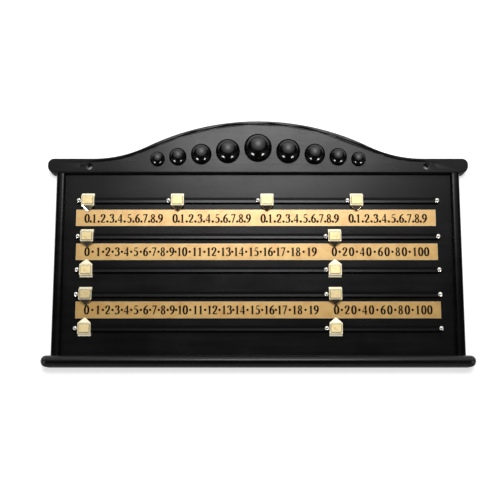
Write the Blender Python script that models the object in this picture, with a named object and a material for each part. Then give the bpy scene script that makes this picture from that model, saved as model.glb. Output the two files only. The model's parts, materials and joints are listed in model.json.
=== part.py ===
# Billiard scoreboard: a black wooden board that hangs on a wall, with brass number plates
# and brass pointers that slide along five black rails.
#
# Metres, +Z up. The back of the board lies in the plane Y = 0 and the front faces -Y.
# X = 0 is the middle of the board, and Z = 0 is the line of the two wall-fixing holes.

import math

import bmesh
import bpy

# Clearances and cutting
gap = 0.0003  # between pieces that touch
cut_overrun = 0.002  # how far a cutter runs past the face that it opens

# Board
board_width = 0.7927  # over the crest and the ledge
overhang = 0.01635  # crest and ledge past the panel, each side
panel_thickness = 0.018
field_height = 0.3425  # underside of the crest to the top of the ledge

# Crest board
crest_thickness = 0.028
lobe_height = 0.0276  # flat ends of the crest
crest_rise = 0.0734  # middle of the crest above its flat ends
lobe_width = 0.0853  # flat end of the crest, out to the end of the board
sweep_share = 0.326  # of the top line's curve, taken by the concave part down to the flat end
lobe_top_radius = 0.011
lobe_bottom_radius = 0.013
crest_edge_radius = 0.0012  # rounding of the front edge
crest_lap = 0.022  # height of the panel's edge behind the crest
groove_inset = 0.0068  # middle of the routed line, in from the crest's edge
groove_width = 0.0028
groove_depth = 0.0022
groove_end_radius = 0.009  # the line turns down at each end
groove_end_setback = 0.059  # from the end of the board
fixing_height = 0.0126  # fixing holes above the underside of the crest
fixing_setback = 0.078  # fixing holes in from the end of the board
fixing_hole_radius = 0.0065

# Bottom ledge
ledge_height = 0.021
ledge_depth = 0.040
ledge_nose_radius = 0.010
ledge_corner_flat = 0.002  # radius that a front corner keeps inside the nose
ledge_lap = 0.012  # height of the panel's edge behind the ledge

# Side mouldings
moulding_width = 0.018
moulding_depth = 0.008

# Half balls, from the middle one outwards
ball_diameters = (0.0525, 0.0455, 0.039, 0.033, 0.0275)
ball_spacing = 0.008  # clear space between two balls
ball_height_share = 0.478  # middle ball's centre, up the crest's full height
ball_fall_share = 0.115  # drop of the outer balls, as a share of their distance

# Number plates, from the top
plate_height = 0.0315
plate_thickness = 0.001
plate_chamfer = 0.0003
plate_end_margin = 0.0245  # in from the side mouldings
plate_drop_shares = (0.2482, 0.4368, 0.7547)  # centre lines, down the field's height
plate_shifts = (-0.004, -0.0024, 0)  # how far each plate sits off the middle

# Rails, from the top
rail_drop_shares = (0.1533, 0.3533, 0.5372, 0.6715, 0.8555)  # centre lines, down the field
rail_end_margin = 0.0208  # in from the side mouldings
rail_web_height = 0.006
rail_web_depth = 0.003
rail_head_height = 0.0104
rail_head_thickness = 0.003
rail_hollow = 0.0003  # depth of the shallow V along the face
upper_screw_shares = (0, 0.25, 0.5, 0.75, 1)  # along the screwed length, top rail
lower_screw_shares = (0, 0.6875, 1)  # along the screwed length, the other rails

# Rail screws, which also stop the sliders
screw_head_radius = 0.00425
screw_head_rim = 0.0006
screw_head_dome = 0.0022
screw_radius = 0.0018
screw_floor = 0.0085  # wood left behind the screw tip
dome_shares = (0.35, 0.7)  # steps up the domed head, as shares of a right angle

# Sliders
pad_width = 0.024
pad_height = 0.0198
pad_thickness = 0.0027
pad_border = 0.0028  # flat border round the raised middle
raise_slope = 0.0008  # width of the raised middle's sides, seen from the front
raise_height = 0.0018
slider_wall = 0.0017
slider_lip = 0.0014
slider_clearance = 0.0003  # running clearance round the rail's head
web_clearance = 0.0005
flange_reach = 0.0041  # past the pad, on the side away from the pointer
flange_chamfer = 0.0028  # length of the flange's sloping edge
flange_chamfer_drop = 0.0009
tongue_length = 0.0106
tongue_step = 0.001  # tongue below the pad's front edge
tongue_tip_width = 0.0016
tongue_tip_thickness = 0.0008
tongue_clearance = 0.0008  # tip above the number plate
stop_gap = 0.0005  # slider to the screw that stops it

# Countersunk screws from the back
rear_head_radius = 0.0036
rear_screw_radius = 0.0016
rear_sink = 0.0005  # head below the back face
lap_screw_bite = 0.006  # into the crest and the ledge
rear_screw_count = 4  # along the crest, and along the ledge

# Fineness of the curves
dome_segments = 26
sweep_segments = 10
corner_segments = 5
edge_segments = 2
nose_segments = 5
hole_sides = 12
fixing_hole_sides = 16
screw_sides = 12
groove_end_segments = 4
ball_sides = 24
ball_rings = 6
rail_end_segments = 6
moulding_segments = 10
smooth_angle = math.radians(35)
right_angle = math.pi / 2

# Places worked out from the sizes above
crest_bottom = -fixing_height
crest_flat_top = crest_bottom + lobe_height
crest_top = crest_flat_top + crest_rise
curve_reach = board_width / 2 - lobe_width
curve_radii = (curve_reach ** 2 + crest_rise ** 2) / (2 * crest_rise)
sweep_radius = sweep_share * curve_radii
dome_radius = curve_radii - sweep_radius
ball_height = crest_bottom + ball_height_share * (crest_top - crest_bottom)
ledge_top = crest_bottom - field_height
ledge_bottom = ledge_top - ledge_height
panel_width = board_width - 2 * overhang
clear_half_width = panel_width / 2 - moulding_width
panel_front = -panel_thickness
crest_front = -crest_thickness
rail_back = panel_front - gap
rail_half_length = clear_half_width - rail_end_margin
screwed_half_length = rail_half_length - rail_head_height / 2
rail_head_back = rail_back - rail_web_depth
rail_face = rail_head_back - rail_head_thickness
screw_seat = rail_face + rail_hollow * (1 - 2 * screw_head_radius / rail_head_height) - gap
plate_face = panel_front - gap - plate_thickness
lap_screw_height = crest_bottom + (crest_lap - gap) / 2
ledge_screw_height = ledge_top - (ledge_lap - gap) / 2
lap_screw_tip = -(panel_thickness + lap_screw_bite)
screw_tip = -screw_floor
rail_screw_shares = (upper_screw_shares,) + (lower_screw_shares,) * (len(rail_drop_shares) - 1)
pointer_up_rails = (2, 4)  # counted from 0


def clear_scene():
    for thing in list(bpy.data.objects):
        bpy.data.objects.remove(thing, do_unlink=True)


def make_material(name, colour, roughness, metallic):
    material = bpy.data.materials.new(name)
    material.use_nodes = True
    shader = material.node_tree.nodes["Principled BSDF"]
    shader.inputs["Base Color"].default_value = (*colour, 1)
    shader.inputs["Roughness"].default_value = roughness
    shader.inputs["Metallic"].default_value = metallic
    material.diffuse_color = (*colour, 1)
    return material


# Mesh building

def add_rings(bm, rings):
    # Joins closed rings of points into one body and closes both its ends.
    loops = [[bm.verts.new(point) for point in ring] for ring in rings]
    faces = []
    for near, far in zip(loops, loops[1:]):
        for i, vertex in enumerate(near):
            j = (i + 1) % len(near)
            faces.append(bm.faces.new((vertex, near[j], far[j], far[i])))
    faces.append(bm.faces.new(loops[0]))
    faces.append(bm.faces.new(loops[-1]))
    bmesh.ops.recalc_face_normals(bm, faces=faces)
    return faces


def add_box(bm, low, high):
    ring = ((low[0], low[1]), (high[0], low[1]), (high[0], high[1]), (low[0], high[1]))
    add_rings(bm, [[(x, y, z) for x, y in ring] for z in (low[2], high[2])])


def add_turned(bm, profile, x, z, sides):
    # Turns a profile of (radius, y) about a line along Y. Its ends have no radius.
    rings = []
    for radius, y in profile:
        if radius == 0:
            rings.append([bm.verts.new((x, y, z))])
            continue
        ring = []
        for k in range(sides):
            angle = (k + 0.5) * 2 * math.pi / sides
            point = (x + radius * math.cos(angle), y, z + radius * math.sin(angle))
            ring.append(bm.verts.new(point))
        rings.append(ring)
    faces = []
    for near, far in zip(rings, rings[1:]):
        for k in range(sides):
            j = (k + 1) % sides
            if len(near) == 1:
                faces.append(bm.faces.new((near[0], far[j], far[k])))
            elif len(far) == 1:
                faces.append(bm.faces.new((near[k], near[j], far[0])))
            else:
                faces.append(bm.faces.new((near[k], near[j], far[j], far[k])))
    bmesh.ops.recalc_face_normals(bm, faces=faces)


def finish_mesh(name, bm):
    mesh = bpy.data.meshes.new(name)
    bm.to_mesh(mesh)
    bm.free()
    mesh.shade_smooth()
    mesh.set_sharp_from_angle(angle=smooth_angle)
    return mesh


def place(name, mesh, material, location=(0, 0, 0)):
    thing = bpy.data.objects.new(name, mesh)
    bpy.context.scene.collection.objects.link(thing)
    if not mesh.materials:
        mesh.materials.append(material)
    thing.location = location
    return thing


def cut(thing, name, bm):
    # Takes every body in bm out of the object.
    cutter = place(name, finish_mesh(name, bm), thing.data.materials[0])
    cutter.hide_render = True
    cutter.display_type = "WIRE"
    modifier = thing.modifiers.new(name, "BOOLEAN")
    modifier.operation = "DIFFERENCE"
    modifier.solver = "EXACT"
    modifier.object = cutter


def arc(centre, radius, start, end, segments, with_last=True):
    points = []
    for k in range(segments + (1 if with_last else 0)):
        angle = start + (end - start) * k / segments
        points.append((centre[0] + radius * math.cos(angle), centre[1] + radius * math.sin(angle)))
    return points


def even_places(count, length):
    # Centres of equal shares of a length, measured from its middle.
    return [(k + 0.5) * length / count - length / 2 for k in range(count)]


# Crest board

def crest_curve(inset):
    # The top line between the flat ends, right to left: concave, convex, concave. The arcs
    # meet on the line between their centres, which are the sum of the radii apart.
    dome_centre = (0, crest_top - dome_radius)
    sweep_centre = (curve_reach, crest_flat_top + sweep_radius)
    turn = math.asin(curve_reach / curve_radii)
    right = arc(sweep_centre, sweep_radius + inset, -right_angle, -right_angle - turn,
                sweep_segments, with_last=False)
    dome = arc(dome_centre, dome_radius - inset, right_angle - turn, right_angle + turn,
               dome_segments)
    left = [(-x, z) for x, z in reversed(right)]
    return right + dome + left


def crest_outline(inset):
    half = board_width / 2
    lower = arc((half - lobe_bottom_radius, crest_bottom + lobe_bottom_radius),
                lobe_bottom_radius - inset, -right_angle, 0, corner_segments)
    upper = arc((half - lobe_top_radius, crest_flat_top - lobe_top_radius),
                lobe_top_radius - inset, 0, right_angle, corner_segments)
    right = lower + upper
    left = [(-x, z) for x, z in reversed(right)]
    return right + crest_curve(inset) + left


def groove_path():
    end = board_width / 2 - groove_end_setback
    height = crest_flat_top - groove_inset
    right = arc((end - groove_end_radius, height - groove_end_radius), groove_end_radius,
                0, right_angle, corner_segments)
    left = [(-x, z) for x, z in reversed(right)]
    return right + crest_curve(groove_inset) + left


def add_groove_cutter(bm):
    # A V-cut line sunk into the crest's face. Both its ends point down and run out to a round.
    path = groove_path()
    half = groove_width / 2
    angles = [right_angle * k / groove_end_segments for k in range(1, groove_end_segments)]
    round_end = [(half * math.sin(angle), half * math.cos(angle)) for angle in angles]
    stations = [((path[0][0], path[0][1] - drop), side) for drop, side in reversed(round_end)]
    stations += [(point, half) for point in path]
    stations += [((path[-1][0], path[-1][1] - drop), side) for drop, side in round_end]
    points = [point for point, side in stations]
    rings = []
    for before, ((x, z), side), after in zip(points[:1] + points, stations, points[1:] + points[-1:]):
        run = (after[0] - before[0], after[1] - before[1])
        length = math.hypot(*run)
        depth = groove_depth * side / half
        spread = side * (1 + cut_overrun / depth) / length
        across = (-run[1] * spread, run[0] * spread)
        near = crest_front - cut_overrun
        rings.append([(x + across[0], near, z + across[1]), (x - across[0], near, z - across[1]),
                      (x, crest_front + depth, z)])
    add_rings(bm, rings)


def add_fixing_cutters(bm):
    # Plain holes for the wall fixings, right through the crest and the panel behind it.
    front = crest_front - cut_overrun
    profile = ((0, cut_overrun), (fixing_hole_radius, cut_overrun), (fixing_hole_radius, front),
               (0, front))
    for side in (-1, 1):
        add_turned(bm, profile, side * (board_width / 2 - fixing_setback), 0, fixing_hole_sides)


def build_crest(material):
    rings = []
    for y, inset in [(0, 0)] + [
            (crest_front + crest_edge_radius * (1 - math.sin(k * right_angle / edge_segments)),
             crest_edge_radius * (1 - math.cos(k * right_angle / edge_segments)))
            for k in range(edge_segments + 1)]:
        rings.append([(x, y, z) for x, z in crest_outline(inset)])
    bm = bmesh.new()
    add_rings(bm, rings)
    crest = place("crest_board", finish_mesh("crest_board", bm), material)
    # The panel's top edge lies in a rebate behind the crest.
    rebate = bmesh.new()
    add_box(rebate,
            (-panel_width / 2 - gap, panel_front - gap, crest_bottom - cut_overrun),
            (panel_width / 2 + gap, cut_overrun, crest_bottom + crest_lap))
    cut(crest, "cut_crest_rebate", rebate)
    holes = bmesh.new()
    add_fixing_cutters(holes)
    for x in even_places(rear_screw_count, panel_width):
        add_rear_hole(holes, x, lap_screw_height)
    cut(crest, "cut_crest_holes", holes)
    groove = bmesh.new()
    add_groove_cutter(groove)
    cut(crest, "cut_crest_groove", groove)


# Screws from the back

def add_rear_hole(bm, x, z):
    # The screw's own shape, a clearance larger all round.
    mouth = rear_head_radius + 1.5 * gap
    radius = rear_screw_radius + gap
    add_turned(bm, ((0, cut_overrun), (mouth, cut_overrun), (mouth, -rear_sink),
                    (radius, -rear_sink - (mouth - radius)), (radius, lap_screw_tip - gap),
                    (0, lap_screw_tip - gap)), x, z, hole_sides)


def build_rear_screws(material):
    neck = -(rear_sink + rear_head_radius - rear_screw_radius)
    bm = bmesh.new()
    add_turned(bm, ((0, -rear_sink), (rear_head_radius, -rear_sink), (rear_screw_radius, neck),
                    (rear_screw_radius, lap_screw_tip + rear_screw_radius), (0, lap_screw_tip)),
               0, 0, screw_sides)
    mesh = finish_mesh("rear_screw", bm)
    for row, z in (("crest_screw_", lap_screw_height), ("ledge_screw_", ledge_screw_height)):
        for number, x in enumerate(even_places(rear_screw_count, panel_width), start=1):
            place(row + str(number), mesh, material, (x, 0, z))


# Back panel, ledge and mouldings

def build_panel(material):
    bm = bmesh.new()
    add_box(bm, (-panel_width / 2, panel_front, ledge_top - ledge_lap + gap),
            (panel_width / 2, 0, crest_bottom + crest_lap - gap))
    panel = place("back_panel", finish_mesh("back_panel", bm), material)
    holes = bmesh.new()
    add_fixing_cutters(holes)
    for x in even_places(rear_screw_count, panel_width):
        add_rear_hole(holes, x, lap_screw_height)
        add_rear_hole(holes, x, ledge_screw_height)
    for rail in range(len(rail_drop_shares)):
        for x in screw_places(rail):
            add_rail_screw_hole(holes, x, rail_height(rail))
    cut(panel, "cut_panel_holes", holes)


def ledge_outline(inset, corner):
    # Plan of the ledge: square at the wall, round at the two front corners.
    half = board_width / 2
    front = arc((half - corner, corner - ledge_depth), corner - inset, 0, -right_angle,
                corner_segments)
    right = [(half - inset, 0)] + front
    return right + [(-x, y) for x, y in reversed(right)]


def build_ledge(material):
    nose = min(ledge_nose_radius, ledge_height / 2 - gap)
    corner = nose + ledge_corner_flat
    rings = []
    for centre, start in ((ledge_bottom + nose, -right_angle), (ledge_top - nose, 0)):
        for k in range(nose_segments + 1):
            angle = start + k * right_angle / nose_segments
            z = centre + nose * math.sin(angle)
            inset = nose * (1 - math.cos(angle))
            rings.append([(x, y, z) for x, y in ledge_outline(inset, corner)])
    bm = bmesh.new()
    add_rings(bm, rings)
    ledge = place("bottom_ledge", finish_mesh("bottom_ledge", bm), material)
    rebate = bmesh.new()
    add_box(rebate,
            (-panel_width / 2 - gap, panel_front - gap, ledge_top - ledge_lap),
            (panel_width / 2 + gap, cut_overrun, ledge_top + cut_overrun))
    cut(ledge, "cut_ledge_rebate", rebate)
    holes = bmesh.new()
    for x in even_places(rear_screw_count, panel_width):
        add_rear_hole(holes, x, ledge_screw_height)
    cut(ledge, "cut_ledge_holes", holes)


def build_mouldings(material):
    # Half-round strips up both sides of the panel, between the crest and the ledge.
    back = panel_front - gap
    for name, side in (("side_moulding_left", -1), ("side_moulding_right", 1)):
        middle = side * (panel_width - moulding_width) / 2
        section = []
        for k in range(moulding_segments + 1):
            angle = math.pi * k / moulding_segments
            section.append((middle + moulding_width / 2 * math.cos(angle),
                            back - moulding_depth * math.sin(angle)))
        bm = bmesh.new()
        add_rings(bm, [[(x, y, z) for x, y in section]
                       for z in (ledge_top + gap, crest_bottom - gap)])
        place(name, finish_mesh(name, bm), material)


# Half balls on the crest

def ball_layout():
    # Diameter, x and z of each half ball, left to right.
    right = [(ball_diameters[0], 0, ball_height)]
    for diameter in ball_diameters[1:]:
        last, x, z = right[-1]
        x += last / 2 + ball_spacing + diameter / 2
        right.append((diameter, x, ball_height - ball_fall_share * x))
    return [(d, -x, z) for d, x, z in reversed(right[1:])] + right


def build_balls(material):
    base = crest_front - gap
    for number, (diameter, x, z) in enumerate(ball_layout(), start=1):
        profile = [(0, base)]
        for k in range(ball_rings):
            angle = right_angle * k / ball_rings
            profile.append((diameter / 2 * math.cos(angle), base - diameter / 2 * math.sin(angle)))
        profile.append((0, base - diameter / 2))
        bm = bmesh.new()
        add_turned(bm, profile, 0, 0, ball_sides)
        name = "half_ball_" + str(number)
        place(name, finish_mesh(name, bm), material, (x, 0, z))


# Number plates

def build_plates(material):
    for name, share, shift in zip(("top", "middle", "bottom"), plate_drop_shares, plate_shifts):
        half = clear_half_width - plate_end_margin
        rings = []
        for y, inset in ((panel_front - gap, 0), (plate_face + plate_chamfer, 0),
                         (plate_face, plate_chamfer)):
            x = half - inset
            z = plate_height / 2 - inset
            rings.append([(-x, y, -z), (x, y, -z), (x, y, z), (-x, y, z)])
        bm = bmesh.new()
        add_rings(bm, rings)
        node = "number_plate_" + name
        height = crest_bottom - share * field_height
        place(node, finish_mesh(node, bm), material, (shift, 0, height))


# Rails and their screws

def rail_height(rail):
    return crest_bottom - rail_drop_shares[rail] * field_height


def screw_places(rail):
    return [screwed_half_length * (2 * share - 1) for share in rail_screw_shares[rail]]


def rail_section(share):
    # T section seen from the end, as (y, z): a narrow web, and a head with a shallow V along
    # its face. The share is how much of the head's height is there.
    head = rail_head_height / 2 * share
    web = min(rail_web_height, rail_head_height * share) / 2
    return [(rail_head_back, -web), (rail_head_back, -head), (rail_face, -head),
            (rail_face + rail_hollow * share, 0), (rail_face, head), (rail_head_back, head),
            (rail_head_back, web), (rail_back, web), (rail_back, -web)]


def rail_rings(z):
    # The rail's ends are round, about the end screws.
    rings = []
    for k in range(1, rail_end_segments + 1):
        angle = right_angle * k / rail_end_segments
        x = screwed_half_length + rail_head_height / 2 * math.cos(angle)
        rings.append([(x, y, up + z) for y, up in rail_section(math.sin(angle))])
    return rings + [[(-x, y, up) for x, y, up in ring] for ring in reversed(rings)]


def rail_screw_mesh():
    rim = screw_seat - screw_head_rim
    profile = [(0, screw_tip), (screw_radius, screw_tip - screw_radius),
               (screw_radius, screw_seat), (screw_head_radius, screw_seat),
               (screw_head_radius, rim)]
    for share in dome_shares:
        angle = share * right_angle
        profile.append((screw_head_radius * math.cos(angle), rim - screw_head_dome * math.sin(angle)))
    profile.append((0, rim - screw_head_dome))
    bm = bmesh.new()
    add_turned(bm, profile, 0, 0, screw_sides)
    return finish_mesh("rail_screw", bm)


def add_rail_screw_hole(bm, x, z):
    radius = screw_radius + gap
    top = rail_face - cut_overrun
    add_turned(bm, ((0, screw_tip + gap), (radius, screw_tip + gap), (radius, top), (0, top)),
               x, z, hole_sides)


def build_rails(rail_material, screw_material):
    screw = rail_screw_mesh()
    for rail in range(len(rail_drop_shares)):
        z = rail_height(rail)
        name = "rail_" + str(rail + 1)
        bm = bmesh.new()
        add_rings(bm, rail_rings(z))
        body = place(name, finish_mesh(name, bm), rail_material)
        holes = bmesh.new()
        for number, x in enumerate(screw_places(rail), start=1):
            add_rail_screw_hole(holes, x, z)
            place(name + "_screw_" + str(number), screw, screw_material, (x, 0, z))
        cut(body, "cut_" + name, holes)


# Sliders

def slider_section():
    # The slider cut across, as (y, z) with the pointer down: the pad, two walls past the
    # rail's head, lips behind the head, and a flange with a sloping edge away from the pointer.
    pad = pad_height / 2
    end = pad + flange_reach
    inner = rail_head_height / 2 + slider_clearance
    outer = inner + slider_wall
    lip = rail_web_height / 2 + web_clearance
    front = rail_face - slider_clearance - pad_thickness
    floor = rail_face - slider_clearance
    lip_front = rail_head_back + slider_clearance
    lip_back = lip_front + slider_lip
    return [(front, -pad), (front, pad), (floor, pad), (floor, outer), (lip_front, outer),
            (lip_front, end - flange_chamfer), (lip_front + flange_chamfer_drop, end),
            (lip_back, end), (lip_back, lip), (lip_front, lip), (lip_front, inner),
            (floor, inner), (floor, -inner),
            (lip_front, -inner), (lip_front, -lip), (lip_back, -lip), (lip_back, -outer),
            (floor, -outer), (floor, -pad), (front + tongue_step, -pad)]


def slider_mesh(material):
    section = slider_section()
    front = section[0][0]
    bm = bmesh.new()
    faces = add_rings(bm, [[(x, y, z) for y, z in section] for x in (-pad_width / 2, pad_width / 2)])
    # The side faces follow the section's points, so the first is the pad's front and the
    # second last before the ends is where the tongue leaves the pad.
    pad_face = faces[0]
    tongue_root = faces[len(section) - 2]
    bmesh.ops.inset_individual(bm, faces=[pad_face], thickness=pad_border)
    bmesh.ops.inset_individual(bm, faces=[pad_face], thickness=raise_slope, depth=raise_height)
    tongue = bmesh.ops.extrude_discrete_faces(bm, faces=[tongue_root])["faces"][0]
    tip_back = plate_face - tongue_clearance
    for vertex in tongue.verts:
        is_front = vertex.co.y < (front + tongue_step + rail_face - slider_clearance) / 2
        vertex.co.x *= tongue_tip_width / pad_width
        vertex.co.y = tip_back - (tongue_tip_thickness if is_front else 0)
        vertex.co.z -= tongue_length
    mesh = finish_mesh("slider", bm)
    mesh.materials.append(material)
    return mesh


def build_sliders(material):
    mesh = slider_mesh(material)
    rest = screw_head_radius + stop_gap + pad_width / 2
    for rail in range(len(rail_drop_shares)):
        for number, x in enumerate(screw_places(rail)[:-1]):
            name = "slider_" + str(rail + 1) + "abcd"[number]
            slider = place(name, mesh, material, (x + rest, 0, rail_height(rail)))
            if rail in pointer_up_rails:
                slider.rotation_euler = (0, math.pi, 0)


def main():
    clear_scene()
    paint = make_material("satin_black_paint", (0.012, 0.012, 0.013), 0.32, 0)
    gloss = make_material("gloss_black_ball", (0.004, 0.004, 0.004), 0.06, 0)
    plate_brass = make_material("brushed_brass", (0.80, 0.60, 0.28), 0.35, 1)
    cast_brass = make_material("polished_brass", (0.90, 0.74, 0.42), 0.12, 1)
    rail_black = make_material("anodised_black", (0.015, 0.015, 0.016), 0.30, 0.3)
    nickel = make_material("nickel_plate", (0.72, 0.70, 0.67), 0.18, 1)
    zinc = make_material("zinc_plate", (0.55, 0.55, 0.53), 0.40, 1)
    build_panel(paint)
    build_crest(paint)
    build_ledge(paint)
    build_mouldings(paint)
    build_balls(gloss)
    build_plates(plate_brass)
    build_rails(rail_black, nickel)
    build_sliders(cast_brass)
    build_rear_screws(zinc)


main()
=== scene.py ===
# Billiard scoreboard: finishes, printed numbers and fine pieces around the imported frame.
# Metres and the frame's own axes: the back of the board is Y = 0 and the front faces -Y.

import json
import math

import bmesh
import bpy
from mathutils import Matrix, Vector
from mathutils.geometry import delaunay_2d_cdt

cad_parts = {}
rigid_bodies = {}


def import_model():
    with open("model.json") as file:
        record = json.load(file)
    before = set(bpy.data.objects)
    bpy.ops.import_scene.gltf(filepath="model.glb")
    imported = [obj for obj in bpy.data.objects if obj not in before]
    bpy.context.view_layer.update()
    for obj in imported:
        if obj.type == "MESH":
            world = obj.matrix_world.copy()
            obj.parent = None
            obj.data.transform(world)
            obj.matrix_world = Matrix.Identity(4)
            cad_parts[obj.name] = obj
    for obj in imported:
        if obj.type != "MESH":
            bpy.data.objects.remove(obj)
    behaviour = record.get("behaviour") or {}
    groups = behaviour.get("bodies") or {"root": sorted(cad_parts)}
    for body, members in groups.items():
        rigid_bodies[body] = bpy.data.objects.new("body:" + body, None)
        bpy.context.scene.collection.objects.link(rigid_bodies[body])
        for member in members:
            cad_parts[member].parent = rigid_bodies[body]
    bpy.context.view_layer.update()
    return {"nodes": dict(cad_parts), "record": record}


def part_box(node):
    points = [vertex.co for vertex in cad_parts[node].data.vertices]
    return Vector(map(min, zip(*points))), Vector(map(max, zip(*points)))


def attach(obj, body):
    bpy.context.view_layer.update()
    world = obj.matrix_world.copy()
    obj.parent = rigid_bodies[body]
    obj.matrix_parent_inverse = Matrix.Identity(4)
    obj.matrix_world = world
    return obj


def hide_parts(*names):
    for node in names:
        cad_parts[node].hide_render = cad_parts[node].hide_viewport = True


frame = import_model()
nodes = frame["nodes"]
mm = 0.001
print("frame loaded:", len(nodes), "nodes")


def linear(hexColour):
    # sRGB hex to the linear colour that the shaders take.
    channels = [int(hexColour[i:i + 2], 16) / 255 for i in (1, 3, 5)]
    return (*[c / 12.92 if c <= 0.04045 else ((c + 0.055) / 1.055) ** 2.4 for c in channels], 1)


def outputOf(source):
    # A node stands for its first output that is in use.
    if isinstance(source, bpy.types.Node):
        return next(output for output in source.outputs if output.enabled)
    return source


def addNode(tree, kind, inputs=None, **settings):
    # Adds a shader node. An input is a value, a hex colour, or a node or output to link.
    node = tree.nodes.new("ShaderNode" + kind)
    for name, value in settings.items():
        setattr(node, name, value)
    for name, value in (inputs or {}).items():
        value = linear(value) if isinstance(value, str) else outputOf(value)
        if isinstance(value, bpy.types.NodeSocket):
            tree.links.new(value, node.inputs[name])
        else:
            node.inputs[name].default_value = value
    return node


def fromTo(source, target=(0, 1)):
    # The inputs that turn one range of values into another.
    return dict(zip(("From Min", "From Max", "To Min", "To Max"), (*source, *target)))


def emptyTree(owner):
    owner.use_nodes = True
    owner.node_tree.nodes.clear()
    return owner.node_tree


# Materials

def newMaterial(name, uniform=None):
    material = bpy.data.materials.new(name)
    tree = emptyTree(material)
    shader = addNode(tree, "BsdfPrincipled", uniform)
    addNode(tree, "OutputMaterial", {"Surface": shader})
    return material, tree, shader, addNode(tree, "TexCoord").outputs["Object"]


def edgeMask(tree, radius):
    # 1 on edges and corners, 0 on open faces.
    soft = addNode(tree, "Bevel", {"Radius": radius}, samples=4)
    true = addNode(tree, "NewGeometry").outputs["Normal"]
    match = addNode(tree, "VectorMath", {0: soft, 1: true}, operation="DOT_PRODUCT")
    return addNode(tree, "MapRange", {"Value": match, **fromTo((0.998, 0.90))})


def streaks(tree, place, sizes, detail):
    # Noise with grains that are this long, deep and high, in mm.
    scale = [1 / (side * mm) for side in sizes]
    fitted = addNode(tree, "Mapping", {"Vector": place, "Scale": scale}, vector_type="POINT")
    return addNode(tree, "TexNoise", {"Vector": fitted, "Scale": 1, "Detail": detail})


def dress(tree, shader, colour, roughness, relief, height):
    # Gives the shader its colour, its roughness and a fine relief.
    bump = addNode(tree, "Bump", {"Height": relief, "Distance": height})
    for name, source in (("Base Color", colour), ("Roughness", roughness), ("Normal", bump)):
        tree.links.new(outputOf(source), shader.inputs[name])


def makeBoardLacquer():
    # Satin black lacquer sprayed on sanded fibreboard: deep black with a soft gloss, faint
    # orange peel, greyer where edges were handled, and bare brown fibres at the back.
    look = {
        "colour": "#0d0d0e",
        "hazed": "#151516",
        "rubbedEdge": "#2b2a29",
        "rawBoard": "#7d6143",
        "rawFibre": "#5f4831",
        "roughness": (0.22, 0.29),
        "rawRoughness": 0.85,
        "underside": 0.85,  # dry, as the spray only drifts under there
        "cloudMm": 90,
        "wipeMm": (160, 20, 12),
        "wipeShare": 0.4,
        "dustMm": 1.2,
        "dustShare": 0.25,
        "edge": 0.9 * mm,
        "scuffMm": 14,
        "peelMm": 7,  # real orange peel is 1 to 2 mm, drawn coarser so that it shows at all
        "peelHeight": 0.03 * mm,
        "bareFrom": (-0.9 * mm, -0.4 * mm),  # depths from which only the back face is bare
        "leastBare": 0.55,
        "fibreMm": (3, 0.6, 0.6),
    }
    material, tree, shader, place = newMaterial("satin_black_lacquer_on_fibreboard")
    cloud = addNode(tree, "TexNoise", {"Vector": place, "Scale": 1 / (look["cloudMm"] * mm),
                                       "Detail": 4, "Roughness": 0.6})
    wipe = streaks(tree, place, look["wipeMm"], 3)
    haze = addNode(tree, "Mix", {0: look["wipeShare"], 2: cloud, 3: wipe})
    gloss = addNode(tree, "MapRange", {"Value": haze, **fromTo((0.35, 0.65), look["roughness"])})
    paint = addNode(tree, "Mix", {0: haze, 6: look["colour"], 7: look["hazed"]}, data_type="RGBA")
    speck = addNode(tree, "TexNoise", {"Vector": place, "Scale": 1 / (look["dustMm"] * mm),
                                       "Detail": 1})
    dust = addNode(tree, "MapRange", {"Value": speck,
                                      **fromTo((0.74, 0.8), (0, look["dustShare"]))})
    scuff = addNode(tree, "TexNoise", {"Vector": place, "Scale": 1 / (look["scuffMm"] * mm),
                                       "Detail": 5})
    worn = edgeMask(tree, look["edge"])
    rubbed = addNode(tree, "Math", {0: worn, 1: scuff}, operation="MULTIPLY")
    marks = addNode(tree, "Math", {0: rubbed, 1: dust}, operation="MAXIMUM")
    coated = addNode(tree, "Mix", {0: marks, 6: paint, 7: look["rubbedEdge"]}, data_type="RGBA")
    fibre = streaks(tree, place, look["fibreMm"], 4)
    raw = addNode(tree, "Mix", {0: fibre, 6: look["rawBoard"], 7: look["rawFibre"]},
                  data_type="RGBA")
    depth = addNode(tree, "SeparateXYZ", {0: place}).outputs["Y"]
    back = addNode(tree, "MapRange", {"Value": depth, **fromTo(look["bareFrom"])})
    unsprayed = addNode(tree, "MapRange", {"Value": cloud,
                                           **fromTo((0.38, 0.62), (look["leastBare"], 1))})
    bare = addNode(tree, "Math", {0: back, 1: unsprayed}, operation="MULTIPLY")
    colour = addNode(tree, "Mix", {0: bare, 6: coated, 7: raw}, data_type="RGBA")
    rough = addNode(tree, "Mix", {0: bare, 2: gloss, 3: look["rawRoughness"]})
    facing = addNode(tree, "SeparateXYZ", {0: addNode(tree, "NewGeometry").outputs["Normal"]})
    under = addNode(tree, "MapRange", {"Value": facing.outputs["Z"], **fromTo((-0.35, -0.7))})
    dry = addNode(tree, "Mix", {0: under, 2: rough, 3: look["underside"]})
    peel = addNode(tree, "TexNoise", {"Vector": place, "Scale": 1 / (look["peelMm"] * mm),
                                      "Detail": 2})
    dress(tree, shader, colour, dry, peel, look["peelHeight"])
    return material


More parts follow.
